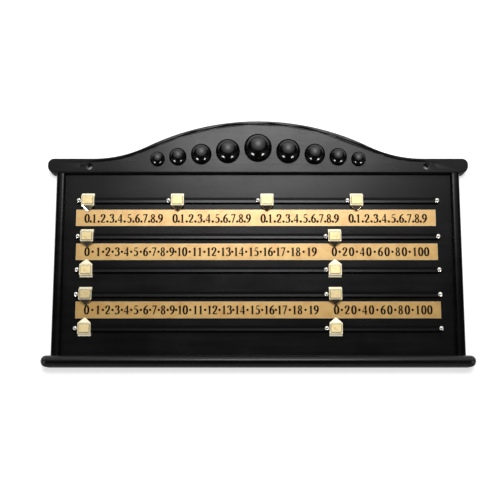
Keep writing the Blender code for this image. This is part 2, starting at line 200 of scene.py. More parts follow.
def makeBallLacquer():
    # Gloss black lacquer polished on turned wood: near mirror with small clear highlights,
    # and faint rings left by the lathe.
    look = {
        "colour": "#050505",
        "dust": "#1c1b1a",
        "roughness": (0.12, 0.17),
        "hazeMm": 9,
        "dustMm": 0.8,
        "dustShare": 0.4,
        "shine": 0.5,
        "rimShade": (0.40, 0.66),  # how far round the shine fades and ends
        "ringMm": 1.6,  # tool marks are about 0.5 mm apart, drawn coarser to show
        "ringHeight": 0.0015 * mm,
    }
    material, tree, shader, place = newMaterial("polished_black_lacquer_on_turned_wood")
    haze = addNode(tree, "TexNoise", {"Vector": place, "Scale": 1 / (look["hazeMm"] * mm),
                                      "Detail": 3})
    rough = addNode(tree, "MapRange", {"Value": haze, **fromTo((0.35, 0.65), look["roughness"])})
    speck = addNode(tree, "TexNoise", {"Vector": place, "Scale": 1 / (look["dustMm"] * mm),
                                       "Detail": 1})
    dust = addNode(tree, "MapRange", {"Value": speck,
                                      **fromTo((0.74, 0.8), (0, look["dustShare"]))})
    colour = addNode(tree, "Mix", {0: dust, 6: look["colour"], 7: look["dust"]}, data_type="RGBA")
    # At scale 1 the wave makes about 3.2 rings in each unit.
    rings = addNode(tree, "TexWave", {"Vector": place, "Scale": 1 / (3.2 * look["ringMm"] * mm),
                                      "Distortion": 0.4}, wave_type="RINGS", rings_direction="Y")
    turning = addNode(tree, "LayerWeight")
    shine = addNode(tree, "MapRange", {"Value": turning.outputs["Facing"],
                                       **fromTo(look["rimShade"], (look["shine"], 0))})
    tree.links.new(outputOf(shine), shader.inputs["Specular IOR Level"])
    dress(tree, shader, colour, rough, rings.outputs["Fac"], look["ringHeight"])
    return material


def makePlateBrass():
    # Brass sheet brushed along its length under a thin lacquer: warm and satin, streaked
    # lengthwise and a little browner in patches, with a painted highlight along its edges.
    look = {
        "colour": "#f0c674",
        "patina": "#e0a64f",
        "plateEdgeHighlight": "#fff1cf",
        "edge": 1.6 * mm,
        "roughness": (0.38, 0.48),
        "patchMm": 22,
        "streakMm": (70, 1, 0.55),  # brushing is about 0.1 mm wide, drawn coarser to show
        "streakShare": 0.35,
        "streakHeight": 0.006 * mm,
    }
    material, tree, shader, place = newMaterial("brushed_lacquered_brass_sheet", {
        "Metallic": 1, "Coat Weight": 1, "Coat Roughness": 0.3, "Coat IOR": 2.15})
    streak = streaks(tree, place, look["streakMm"], 3)
    patch = addNode(tree, "TexNoise", {"Vector": place, "Scale": 1 / (look["patchMm"] * mm),
                                       "Detail": 6, "Roughness": 0.65})
    stain = addNode(tree, "MapRange", {"Value": patch, **fromTo((0.42, 0.75))})
    fine = addNode(tree, "MapRange", {"Value": streak,
                                      **fromTo((0.3, 0.7), (0, look["streakShare"]))})
    aged = addNode(tree, "Math", {0: stain, 1: fine}, operation="ADD", use_clamp=True)
    body = addNode(tree, "Mix", {0: aged, 6: look["colour"], 7: look["patina"]}, data_type="RGBA")
    # Painted highlight: the edges are coloured paler.
    colour = addNode(tree, "Mix", {0: edgeMask(tree, look["edge"]), 6: body, 7: look["plateEdgeHighlight"]},
                     data_type="RGBA")
    rough = addNode(tree, "MapRange", {"Value": streak, **fromTo((0.3, 0.7), look["roughness"])})
    dress(tree, shader, colour, rough, streak, look["streakHeight"])
    return material


def makeSliderBrass():
    # Cast brass: faces linished to a pale satin and slopes tumbled smoother, with faint casting
    # pits and finger marks. Slopes, flange and edges get a painted highlight, and the hollows and a
    # ring round the pad get painted shade.
    look = {
        "colour": "#f6e2ac",
        "tarnish": "#dcbc7e",
        # Painted highlight: the edges, and the slopes and flange behind the face, are coloured near
        # white.
        "sliderEdgeHighlight": "#fff3cf",
        "border": "#fff5d6",
        # Painted shade: hollows and a ring on the slopes round the pad are coloured dark.
        "shadeColour": "#8f723c",
        "highlightFrom": (1.1 * mm, 1.6 * mm),  # behind the raised middle's face
        "edge": 0.45 * mm,
        "stainMm": 6,
        "stainShare": 0.7,
        "aoShade": 2.2 * mm,
        "satin": (0.36, 0.47),
        "bright": 0.26,
        "linishMm": (9, 2, 0.5),  # belt lines are about 0.1 mm apart, drawn coarser to show
        "linishHeight": 0.008 * mm,
    }
    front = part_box("slider_1a")[0][1]
    begins, ends = [front + behind for behind in look["highlightFrom"]]
    material, tree, shader, place = newMaterial("cast_brass_linished_and_tumbled", {"Metallic": 1})
    facing = addNode(tree, "SeparateXYZ", {0: addNode(tree, "NewGeometry").outputs["Normal"]})
    slope = addNode(tree, "MapRange", {"Value": facing.outputs["Y"], **fromTo((-0.985, -0.95))})
    lines = streaks(tree, place, look["linishMm"], 3)
    marks = addNode(tree, "TexNoise", {"Vector": place, "Scale": 1 / (look["stainMm"] * mm),
                                       "Detail": 5})
    stain = addNode(tree, "MapRange", {"Value": marks,
                                       **fromTo((0.48, 0.72), (0, look["stainShare"]))})
    body = addNode(tree, "Mix", {0: stain, 6: look["colour"], 7: look["tarnish"]}, data_type="RGBA")
    depth = addNode(tree, "SeparateXYZ", {0: place}).outputs["Y"]
    # Painted highlight: near white behind the face and on the edges.
    lower = addNode(tree, "MapRange", {"Value": depth, **fromTo((begins, ends))})
    highlighted = addNode(tree, "Mix", {0: lower, 6: body, 7: look["border"]}, data_type="RGBA")
    edged = addNode(tree, "Mix", {0: edgeMask(tree, look["edge"]), 6: highlighted,
                                  7: look["sliderEdgeHighlight"]}, data_type="RGBA")
    # Painted shade in the hollows and in a ring on the slopes round the pad.
    aoShade = addNode(tree, "AmbientOcclusion", {"Distance": look["aoShade"]}, samples=4)
    corner = addNode(tree, "MapRange", {"Value": aoShade.outputs["AO"], **fromTo((0.88, 0.62))})
    raised = addNode(tree, "MapRange", {"Value": depth, **fromTo((ends + 0.2 * mm, ends))})
    ring = addNode(tree, "Math", {0: slope, 1: raised}, operation="MULTIPLY")
    shadeMask = addNode(tree, "Math", {0: corner, 1: ring}, operation="MAXIMUM")
    colour = addNode(tree, "Mix", {0: shadeMask, 6: edged, 7: look["shadeColour"]}, data_type="RGBA")
    grit = addNode(tree, "MapRange", {"Value": lines, **fromTo((0.3, 0.7), look["satin"])})
    rough = addNode(tree, "Mix", {0: slope, 2: grit, 3: look["bright"]})
    dress(tree, shader, colour, rough, lines, look["linishHeight"])
    return material


def makeRailBlack():
    # Aluminium extruded and anodised black: even satin black with fine die lines along it,
    # rubbed to bare metal where the sliders' lips run.
    look = {
        "colour": "#131314",
        "rubbed": "#6a6863",
        "roughness": (0.20, 0.28),
        "edge": 0.35 * mm,
        "scuffMm": (40, 4, 2),
        "scuffShare": 0.8,
        "dieLineMm": (240, 1, 0.45),
        "dieLineHeight": 0.004 * mm,
    }
    material, tree, shader, place = newMaterial("extruded_aluminium_anodised_black")
    lines = streaks(tree, place, look["dieLineMm"], 3)
    scuff = streaks(tree, place, look["scuffMm"], 4)
    rub = addNode(tree, "MapRange", {"Value": scuff,
                                     **fromTo((0.5, 0.75), (0, look["scuffShare"]))})
    bare = addNode(tree, "Math", {0: edgeMask(tree, look["edge"]), 1: rub}, operation="MULTIPLY")
    colour = addNode(tree, "Mix", {0: bare, 6: look["colour"], 7: look["rubbed"]}, data_type="RGBA")
    rough = addNode(tree, "MapRange", {"Value": lines, **fromTo((0.3, 0.7), look["roughness"])})
    dress(tree, shader, colour, rough, lines, look["dieLineHeight"])
    return material


def makeScrewPlating(name, look):
    # Plated steel: bright, with hairline scratches from the driver and painted shade in the recess.
    plating = {"scratchMm": 1.1, "scratchHeight": 0.003 * mm, "recess": 1.2 * mm}
    material, tree, shader, place = newMaterial(name, {"Metallic": 1})
    scratch = addNode(tree, "TexNoise", {"Vector": place, "Scale": 1 / (plating["scratchMm"] * mm),
                                         "Detail": 6, "Roughness": 0.7})
    rough = addNode(tree, "MapRange", {"Value": scratch, **fromTo((0.35, 0.7), look["roughness"])})
    # Painted shade: the colour darkens where the recess closes round a point.
    aoShade = addNode(tree, "AmbientOcclusion", {"Distance": plating["recess"]}, samples=4)
    unshaded = addNode(tree, "MapRange", {"Value": aoShade.outputs["AO"], **fromTo((0.25, 0.75))})
    colour = addNode(tree, "Mix", {0: unshaded, 6: look["recessShade"], 7: look["colour"]}, data_type="RGBA")
    dress(tree, shader, colour, rough, scratch, plating["scratchHeight"])
    return material


def makeNumeralInk():
    # Black enamel printed on the brass: nearly matt, thinner and browner in small patches.
    look = {
        "colour": "#050403",
        "thin": "#17110b",
        "roughness": (0.42, 0.58),
        "shine": 0.15,
        "wearMm": 2.5,
        "wearHeight": 0.004 * mm,
    }
    material, tree, shader, place = newMaterial("black_enamel_printed_on_brass",
                                                {"Specular IOR Level": look["shine"]})
    wear = addNode(tree, "TexNoise", {"Vector": place, "Scale": 1 / (look["wearMm"] * mm),
                                      "Detail": 5})
    thin = addNode(tree, "MapRange", {"Value": wear, **fromTo((0.5, 0.75))})
    colour = addNode(tree, "Mix", {0: thin, 6: look["colour"], 7: look["thin"]}, data_type="RGBA")
    rough = addNode(tree, "MapRange", {"Value": wear, **fromTo((0, 1), look["roughness"])})
    dress(tree, shader, colour, rough, wear, look["wearHeight"])
    return material


finishes = {
    "board_paint": makeBoardLacquer(),
    "ball_gloss": makeBallLacquer(),
    "plate_brass": makePlateBrass(),
    "slider_brass": makeSliderBrass(),
    "rail_black": makeRailBlack(),
    # The dark second colour of each plating is painted shade in the cross recess.
    "rail_screw_nickel": makeScrewPlating("nickel_plated_steel", {
        "colour": "#f0ede6", "recessShade": "#1b1916", "roughness": (0.20, 0.32)}),
    "rear_screw_zinc": makeScrewPlating("zinc_plated_steel", {
        "colour": "#b3b4b0", "recessShade": "#2a2823", "roughness": (0.32, 0.48)}),
}
numeralInk = makeNumeralInk()
slotOf = {row["node"]: row["material_slot"] for row in frame["record"]["subparts"]}
for name, thing in nodes.items():
    thing.data.materials.clear()
    thing.data.materials.append(finishes[slotOf[name]])
print("finishes set")


# Pieces

def addObject(name, data):
    thing = bpy.data.objects.new(name, data)
    bpy.context.scene.collection.objects.link(thing)
    return thing


def nodesNamed(start):
    return sorted(name for name in nodes if name.startswith(start))


def centreOf(node):
    low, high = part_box(node)
    return (Vector(low) + Vector(high)) / 2


def addPiece(node, mesh, name=None, place=(0, 0, 0), turn=0, added=None):
    # A piece on the node's body. It replaces the node, or is added to it in its own material.
    piece = addObject(name or mesh.name, mesh)
    if not mesh.materials:
        mesh.materials.append(added or finishes[slotOf[node]])
    piece.location = place
    piece.rotation_euler = (0, math.radians(turn), 0)
    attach(piece, node if node.startswith("slider_") else "board")
    if not added:
        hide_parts(node)


def weldedForm(node):
    # The node's CAD mesh with its doubled points joined.
    form = bmesh.new()
    form.from_mesh(nodes[node].data)
    bmesh.ops.remove_doubles(form, verts=form.verts, dist=0.001 * mm)
    return form


def eased(form, edges, offset, segments):
    return bmesh.ops.bevel(form, geom=edges, offset=offset, segments=segments, profile=0.5,
                           affect="EDGES", clamp_overlap=True)["faces"]


def isSharp(edge, degrees=20):
    return len(edge.link_faces) == 2 and edge.calc_face_angle() > math.radians(degrees)


def toMesh(name, form, smoothDegrees=35):
    bmesh.ops.recalc_face_normals(form, faces=form.faces)
    mesh = bpy.data.meshes.new(name)
    form.to_mesh(mesh)
    form.free()
    if smoothDegrees:
        mesh.shade_smooth()
        mesh.set_sharp_from_angle(angle=math.radians(smoothDegrees))
    return mesh


def turned(profile, sides):
    # A body turned about the Y axis from (radius, y) points. Both ends have no radius.
    form = bmesh.new()
    rings = []
    for radius, y in profile:
        count = sides if radius else 1
        angles = [2 * math.pi * k / count for k in range(count)]
        rings.append([form.verts.new((radius * math.cos(a), y, radius * math.sin(a)))
                      for a in angles])
    for near, far in zip(rings, rings[1:]):
        for k in range(sides):
            corners = [near[k % len(near)], near[(k + 1) % len(near)],
                       far[(k + 1) % len(far)], far[k % len(far)]]
            form.faces.new(list(dict.fromkeys(corners)))
    return form


def modified(mesh, kind, **settings):
    # The mesh as one modifier leaves it.
    thing = addObject("block", mesh)
    modifier = thing.modifiers.new("change", kind)
    for name, value in settings.items():
        setattr(modifier, name, value)
    shaped = thing.evaluated_get(bpy.context.evaluated_depsgraph_get())
    result = bpy.data.meshes.new_from_object(shaped)
    bpy.data.objects.remove(thing)
    result.name = mesh.name
    return result


def carved(mesh, tool):
    # The mesh with the tool's shape taken out of it.
    cutter = addObject("cutter", tool)
    result = modified(mesh, "BOOLEAN", operation="DIFFERENCE", solver="EXACT", object=cutter)
    bpy.data.objects.remove(cutter)
    return result


def evenTop(mesh):
    # Gives the long top edge one smooth run of normals, from the curve that its points lie on.
    top = {"spacing": 4 * mm, "flatness": 0.02, "upward": 0.5}
    faces = [face for face in mesh.polygons if face.normal.z > top["upward"]]
    points = {v: mesh.vertices[v].co for face in faces if abs(face.normal.y) < top["flatness"]
              for v in face.vertices}
    curve = []
    for x, z in sorted((co.x, co.z) for co in points.values()):
        if not curve or x - curve[-1][0] > top["spacing"]:
            curve.append((x, z))
    slopes = []
    for before, at, after in zip(curve, curve[1:], curve[2:]):
        back, ahead = at[0] - before[0], after[0] - at[0]
        behind, front = (at[1] - before[1]) / back, (after[1] - at[1]) / ahead
        slopes.append((at[0], (behind * ahead + front * back) / (back + ahead)))
    normals = [corner.vector.copy() for corner in mesh.corner_normals]
    for face in faces:
        for corner in face.loop_indices:
            v = mesh.loops[corner].vertex_index
            for (x, slope), (nextX, nextSlope) in zip(slopes, slopes[1:]):
                if v in points and x <= points[v].x <= nextX:
                    slope += (nextSlope - slope) * (points[v].x - x) / (nextX - x)
                    normals[corner] = Vector((-slope, 0, 1)).normalized()
                    break
    mesh.normals_split_custom_set(normals)


def makeBoards():
    # The crest and the ledge, with flat faces shaded flat and their routed rounds smooth.
    board = {"smoothDegrees": 28}
    for node in ("crest_board", "bottom_ledge"):
        mesh = toMesh(node + "_smooth", weldedForm(node), board["smoothDegrees"])
        mesh = modified(mesh, "WEIGHTED_NORMAL", mode="FACE_AREA_WITH_ANGLE", weight=50,
                        keep_sharp=True)
        if node == "crest_board":
            evenTop(mesh)
        addPiece(node, mesh, node + "_smooth")


def makeMouldings():
    # Half-round strips with a full crown, as the cutter leaves them.
    moulding = {"sides": 28, "fullness": 2.9, "smoothDegrees": 30}
    power = 2 / moulding["fullness"]
    angles = [math.pi * k / moulding["sides"] for k in range(moulding["sides"] + 1)]
    for node in nodesNamed("side_moulding_"):
        low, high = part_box(node)
        half = (high[0] - low[0]) / 2
        deep = high[1] - low[1]
        section = [(low[0] + half + math.copysign(half * abs(math.cos(a)) ** power, math.cos(a)),
                    high[1] - deep * abs(math.sin(a)) ** power) for a in angles]
        form = bmesh.new()
        lower, upper = [[form.verts.new((x, y, z)) for x, y in section] for z in (low[2], high[2])]
        for k in range(len(section)):
            form.faces.new((lower[k - 1], lower[k], upper[k], upper[k - 1]))
        form.faces.new(lower)
        form.faces.new(upper)
        addPiece(node, toMesh(node + "_milled", form, moulding["smoothDegrees"]))


def makeHalfBalls():
    # Turned half balls with a fine rim that is just broken with sandpaper.
    ball = {"sides": 72, "rings": 20, "rim": 0.35 * mm, "belly": 0.02, "smoothDegrees": 60}
    for node in nodesNamed("half_ball_"):
        low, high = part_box(node)
        radius = high[1] - low[1]
        middle = centreOf(node)
        profile = [(0, 0), (radius - ball["rim"], 0)]
        for k in range(1, ball["rings"]):
            angle = math.pi / 2 * k / ball["rings"]
            profile.append((radius * math.cos(angle - ball["belly"]), -radius * math.sin(angle)))
        form = turned([*profile, (0, -radius)], ball["sides"])
        addPiece(node, toMesh(node + "_turned", form, ball["smoothDegrees"]),
                 place=(middle.x, high[1], middle.z))


def crossTool(top, recess):
    # Tapered cross that the driver fits. It starts above the head and ends in the recess.
    cross = {"above": 1 * mm, "shares": (1.25, 0.45), "leastWide": 0.6}
    long, wide, deep = recess
    form = bmesh.new()
    for turn in (0, math.pi / 2):
        rings = []
        for y, share in zip((top - cross["above"], top + deep), cross["shares"]):
            x = long / 2 * share
            z = wide / 2 * (cross["leastWide"] + (1 - cross["leastWide"]) * share)
            rings.append([form.verts.new((a * math.cos(turn) - b * math.sin(turn), y,
                                          a * math.sin(turn) + b * math.cos(turn)))
                          for a, b in ((-x, -z), (x, -z), (x, z), (-x, z))])
        for k in range(4):
            form.faces.new((rings[0][k - 1], rings[0][k], rings[1][k], rings[1][k - 1]))
        for ring in rings:
            form.faces.new(ring)
    return toMesh("cross", form)


def makeRailScrews():
    # Round-head screws with a cross recess, nickel plated.
    low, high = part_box("rail_1_screw_1")
    screw = {
        "headRadius": 4.25 * mm,
        "rim": 0.5 * mm,
        "dome": 2.3 * mm,
        "domeSteps": 8,
        "edge": 0.15 * mm,
        "shankRadius": 1.8 * mm,
        "recess": (4.6 * mm, 1.1 * mm, 1.5 * mm),  # long, wide and deep
        "turns": (20, -35, 5, 38, -12, 27, 48, -20),  # how the crosses were left, in degrees
        "sides": 40,
    }
    top = low[1]
    radius, shank = screw["headRadius"], screw["shankRadius"]
    seat = top + screw["rim"] + screw["dome"]
    profile = [(0, high[1]), (shank, high[1] - shank), (shank, seat),
               (radius - screw["edge"], seat), (radius, seat - screw["edge"]),
               (radius, seat - screw["rim"])]
    for k in range(1, screw["domeSteps"]):
        angle = math.pi / 2 * k / screw["domeSteps"]
        profile.append((radius * math.cos(angle),
                        seat - screw["rim"] - screw["dome"] * math.sin(angle)))
    form = turned([*profile, (0, top)], screw["sides"])
    mesh = carved(toMesh("round_head_screw", form), crossTool(top, screw["recess"]))
    for count, node in enumerate(name for name in nodesNamed("rail_") if "_screw_" in name):
        middle = centreOf(node)
        addPiece(node, mesh, node + "_cross_head", (middle.x, 0, middle.z),
                 screw["turns"][count % len(screw["turns"])])


def makeRails():
    # The head's lower front edge is broken by a flat, as the die leaves it.
    rail = {"flat": 1.1 * mm, "below": 2.5 * mm, "within": 0.02 * mm, "smoothDegrees": 25}
    for node in [f"rail_{k}" for k in range(1, 6)]:
        low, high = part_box(node)
        deepest = low[1] + rail["within"]
        highest = (low[2] + high[2]) / 2 - rail["below"]
        form = weldedForm(node)
        lower = [edge for edge in form.edges if isSharp(edge)
                 and all(v.co.y < deepest and v.co.z < highest for v in edge.verts)]
        eased(form, lower, rail["flat"], 1)
        addPiece(node, toMesh(node + "_extruded", form, rail["smoothDegrees"]))


def makeRearScrews():
    # Countersunk wood screws with a cross recess, zinc plated.
    low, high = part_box("crest_screw_1")
    screw = {
        "headShare": 1.02,  # closes the hairline between the head and its seat
        "shankRadius": 1.6 * mm,
        "edge": 0.2 * mm,
        "recess": (4.0 * mm, 1.0 * mm, 1.6 * mm),  # long, wide and deep
        "turn": 25,
        "sides": 32,
    }
    head = high[1]
    radius = (high[0] - low[0]) / 2 * screw["headShare"]
    shank, edge = screw["shankRadius"], screw["edge"]
    form = turned([(0, head), (radius - edge, head), (radius, head - edge),
                   (shank, head - edge - (radius - shank)), (shank, low[1] + shank),
                   (0, low[1])], screw["sides"])
    # The cross is cut from the back, so its tool is turned round.
    tool = crossTool(-head, screw["recess"])
    tool.transform(Matrix.Scale(-1, 4, (0, 1, 0)))
    tool.flip_normals()
    mesh = carved(toMesh("countersunk_screw", form), tool)
    for count, node in enumerate(nodesNamed("crest_screw_") + nodesNamed("ledge_screw_")):
        middle = centreOf(node)
        addPiece(node, mesh, node + "_countersunk", (middle.x, 0, middle.z),
                 screw["turn"] * (count + 1))


def makeSliders():
    # Cast with a raised middle on the pointed tongue, and edges eased all round by tumbling.
    slider = {
        "edge": 0.12 * mm,
        "segments": 2,
        "flatDegrees": 0.5,
        "tongueSlope": (-0.6, 0.3),  # it leans forwards by more than this, and up or down
        "tongueBorder": 1.1 * mm,
        "wideBorder": {"slider_1a": 2.4 * mm},
        "tongueRaise": {-1: 0.8 * mm, 1: 0.2 * mm},  # where it points down, and up
    }
    for node in nodesNamed("slider_"):
        form = weldedForm(node)
        bmesh.ops.dissolve_limit(form, angle_limit=math.radians(slider["flatDegrees"]),
                                 verts=form.verts, edges=form.edges)
        forwards, upright = slider["tongueSlope"]
        sloping = [face for face in form.faces
                   if face.normal.y < forwards and abs(face.normal.z) > upright]
        tongue = max(sloping, key=lambda face: face.calc_area())
        down = -1 if tongue.normal.z < 0 else 1
        fromRoot = sorted(tongue.verts, key=lambda v: down * v.co.z)
        rootLeft, rootRight = sorted(fromRoot[:2], key=lambda v: v.co.x)
        tipLeft, tipRight = sorted(fromRoot[2:], key=lambda v: v.co.x)
        lift = tongue.normal * slider["tongueRaise"][down]
        inward = (rootRight.co - rootLeft.co).normalized()
        along = ((tipLeft.co + tipRight.co) - (rootLeft.co + rootRight.co)).normalized()
        side = (tipLeft.co - rootLeft.co).normalized()
        border = slider["wideBorder"].get(node, slider["tongueBorder"])
        half = (rootRight.co - rootLeft.co).length / 2 - border / abs(side.dot(along))
        middle = (rootLeft.co + rootRight.co) / 2
        reach = half * abs(side.dot(along)) / abs(side.dot(inward))
        a, b, c = [form.verts.new(middle + offset + lift)
                   for offset in (-inward * half, inward * half, along * reach)]
        form.faces.remove(tongue)
        for corners in ((a, b, c), (rootLeft, rootRight, b, a), (rootRight, tipRight, c, b),
                        (tipRight, tipLeft, c), (tipLeft, rootLeft, a, c)):
            form.faces.new(corners)
        bmesh.ops.recalc_face_normals(form, faces=form.faces)
        sharp = [edge for edge in form.edges if isSharp(edge)]
        rounds = eased(form, sharp, slider["edge"], slider["segments"])
        for face in form.faces:
            face.smooth = False
        for face in rounds:
            face.smooth = True
        addPiece(node, toMesh(node + "_cast", form, None))


# Numbers. Each digit is one unit high and stands on the baseline.

def curveThrough(points, closed, steps=7):
    # A smooth line through the points.
    count = len(points)
    line = []
    for i in range(count if closed else count - 1):
        if closed:
            four = [points[(i + k) % count] for k in (-1, 0, 1, 2)]
        else:
            four = [points[min(max(i + k, 0), count - 1)] for k in (-1, 0, 1, 2)]
        for step in range(steps):
            t = step / steps
            line.append([0.5 * (2 * b + (c - a) * t + (2 * a - 5 * b + 4 * c - d) * t * t
                                + (3 * b - a - 3 * c + d) * t ** 3) for a, b, c, d in zip(*four)])
    if not closed:
        line.append(list(points[-1]))
    return line


def penStroke(points, closed=False, thick=0.21, thin=0.09):
    # A line drawn with a broad pen: thick where it runs up or down, thin where it runs across.
    line = curveThrough(points, closed)
    count = len(line)
    sides = []
    for i, (x, z) in enumerate(line):
        if closed:
            before, after = line[i - 1], line[(i + 1) % count]
        else:
            before, after = line[max(i - 1, 0)], line[min(i + 1, count - 1)]
        run = Vector((after[0] - before[0], after[1] - before[1])).normalized()
        half = (thin + (thick - thin) * abs(run.y) ** 1.5) / 2
        sides.append(((x - run.y * half, z + run.x * half), (x + run.y * half, z - run.x * half)))
    pairs = list(zip(sides, sides[1:]))
    if closed:
        pairs.append((sides[-1], sides[0]))
    flat = []
    for (a, b), (c, d) in pairs:
        flat += [[a, b, d], [a, d, c]]
    return flat


def oval(x, z, wide, high, thick=0.22, count=16):
    angles = [2 * math.pi * k / count for k in range(count)]
    points = [(x + wide * math.cos(a), z + high * math.sin(a)) for a in angles]
    return penStroke(points, closed=True, thick=thick)


def disc(x, z, radius, count=14):
    angles = [2 * math.pi * k / count for k in range(count)]
    return [[(x + radius * math.cos(a), z + radius * math.sin(a)) for a in angles]]


def drawDigits():
    six = penStroke([(0.2, 0.99), (0.02, 0.88), (-0.13, 0.68), (-0.19, 0.42), (-0.15, 0.15),
                     (0, 0.03), (0.14, 0.12), (0.19, 0.31), (0.13, 0.5), (0, 0.575), (-0.13, 0.5)])
    return {
        "0": oval(0, 0.5, 0.205, 0.472),
        "1": [[(-0.1, 0.02), (0.1, 0.02), (0.1, 0.97), (-0.1, 0.97)],
              [(-0.2, 0.80), (-0.06, 0.78), (0.09, 0.80), (0.09, 1), (0.05, 1), (-0.19, 0.83)],
              [(-0.2, 0), (0.2, 0), (0.2, 0.045), (-0.2, 0.045)]],
        "2": penStroke([(-0.215, 0.70), (-0.16, 0.87), (0, 0.965), (0.15, 0.88),
                        (0.17, 0.72), (0.09, 0.5), (-0.06, 0.28), (-0.22, 0.06)])
        + [[(-0.25, 0), (0.20, 0), (0.235, 0.1), (0.17, 0.115), (-0.16, 0.115)],
           [(0.20, 0), (0.27, 0.2), (0.235, 0.2), (0.17, 0.115)]]
        + disc(-0.17, 0.72, 0.075),
        "3": penStroke([(-0.2, 0.79), (-0.12, 0.92), (0, 0.965), (0.12, 0.91), (0.15, 0.76),
                        (0.10, 0.63), (-0.03, 0.545)])
        + penStroke([(-0.05, 0.545), (0.08, 0.53), (0.18, 0.42), (0.19, 0.27), (0.11, 0.1),
                     (-0.05, 0.028), (-0.17, 0.05), (-0.22, 0.1)])
        + disc(-0.16, 0.79, 0.07) + disc(-0.17, 0.14, 0.07),
        "4": [[(0.015, 0.02), (0.195, 0.02), (0.195, 1), (0.015, 1)],
              [(-0.28, 0.225), (0.27, 0.225), (0.27, 0.35), (-0.28, 0.35)],
              [(-0.28, 0.325), (-0.215, 0.325), (0.08, 0.88), (0.07, 1)],
              [(-0.03, 0), (0.24, 0), (0.24, 0.045), (-0.03, 0.045)]],
        "5": penStroke([(-0.15, 0.60), (0, 0.60), (0.15, 0.48), (0.18, 0.30), (0.11, 0.12),
                        (-0.04, 0.03), (-0.2, 0.05)])
        + [[(-0.205, 0.56), (-0.135, 0.56), (-0.08, 0.95), (-0.15, 0.95)],
           [(-0.145, 0.88), (0.165, 0.88), (0.2, 1), (-0.115, 1)]]
        + disc(-0.16, 0.12, 0.075),
        "6": six,
        "7": [[(-0.2, 0.88), (0.24, 0.88), (0.25, 1), (-0.24, 1)],
              [(-0.28, 0.77), (-0.25, 0.77), (-0.2, 0.88), (-0.24, 1)],
              [(-0.19, 0), (-0.04, 0), (0.25, 0.98), (0.08, 0.9)]],
        "8": oval(0, 0.755, 0.15, 0.21, 0.17) + oval(0, 0.255, 0.175, 0.23, 0.185),
        "9": [[(-x, 1 - z) for x, z in face] for face in six],
    }


def joinFlat(faces):
    # One outline from overlapping flat faces, as points and triangles.
    smallest = 1e-9
    points = []
    corners = []
    for face in faces:
        area = sum(a[0] * b[1] - b[0] * a[1] for a, b in zip(face, face[1:] + face[:1]))
        if abs(area) < smallest:
            continue
        ordered = face if area > 0 else face[::-1]
        corners.append(list(range(len(points), len(points) + len(ordered))))
        points += [Vector(point) for point in ordered]
    verts, _, triangles, _, _, sources = delaunay_2d_cdt(points, [], corners, 0, 1e-5, True)
    return verts, [t for t, source in zip(triangles, sources) if source]


